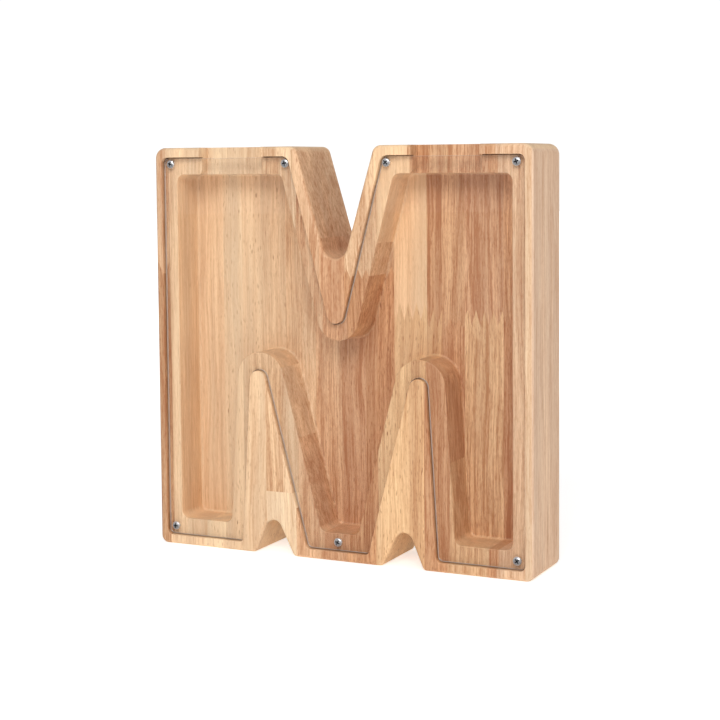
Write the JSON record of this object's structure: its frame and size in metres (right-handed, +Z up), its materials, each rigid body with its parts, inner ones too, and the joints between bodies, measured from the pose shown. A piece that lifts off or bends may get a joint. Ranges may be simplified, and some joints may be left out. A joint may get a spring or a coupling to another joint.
{
  "type": "wooden money box",
  "caption": "Wooden money box shaped as a block letter, milled hollow from one laminated block, with a clear screwed-on front and coin slots in the top.",
  "frame": {"origin": "middle of the footprint, at floor level", "axes": "+Z up, front with the clear panel towards -Y, +X to the right seen from the front"},
  "size_m": [0.21, 0.04, 0.21],
  "materials": {
    "wood": "finger-jointed light hardwood, sanded, thin satin lacquer",
    "acrylic": "clear polished acrylic sheet",
    "plated_steel": "bright nickel-plated steel"
  },
  "bodies": {
    "box": {"wood_body": "wood"},
    "panel": {"clear_panel": "acrylic"},
    "screw_top_left_outer": {"screw_top_left_outer": "plated_steel"},
    "screw_top_left_inner": {"screw_top_left_inner": "plated_steel"},
    "screw_top_right_inner": {"screw_top_right_inner": "plated_steel"},
    "screw_top_right_outer": {"screw_top_right_outer": "plated_steel"},
    "screw_bottom_left": {"screw_bottom_left": "plated_steel"},
    "screw_bottom_middle": {"screw_bottom_middle": "plated_steel"},
    "screw_bottom_right": {"screw_bottom_right": "plated_steel"}
  },
  "joints": [
    {"name": "panel_off", "type": "slide", "parent": "box", "child": "panel", "axis": [0, -1, 0], "range_m": [0, 0.03]},
    {"name": "screw_top_left_outer_out", "type": "slide", "parent": "panel", "child": "screw_top_left_outer", "axis": [0, -1, 0], "range_m": [0, 0.016]},
    {"name": "screw_top_left_inner_out", "type": "slide", "parent": "panel", "child": "screw_top_left_inner", "axis": [0, -1, 0], "range_m": [0, 0.016]},
    {"name": "screw_top_right_inner_out", "type": "slide", "parent": "panel", "child": "screw_top_right_inner", "axis": [0, -1, 0], "range_m": [0, 0.016]},
    {"name": "screw_top_right_outer_out", "type": "slide", "parent": "panel", "child": "screw_top_right_outer", "axis": [0, -1, 0], "range_m": [0, 0.016]},
    {"name": "screw_bottom_left_out", "type": "slide", "parent": "panel", "child": "screw_bottom_left", "axis": [0, -1, 0], "range_m": [0, 0.016]},
    {"name": "screw_bottom_middle_out", "type": "slide", "parent": "panel", "child": "screw_bottom_middle", "axis": [0, -1, 0], "range_m": [0, 0.016]},
    {"name": "screw_bottom_right_out", "type": "slide", "parent": "panel", "child": "screw_bottom_right", "axis": [0, -1, 0], "range_m": [0, 0.016]}
  ]
}
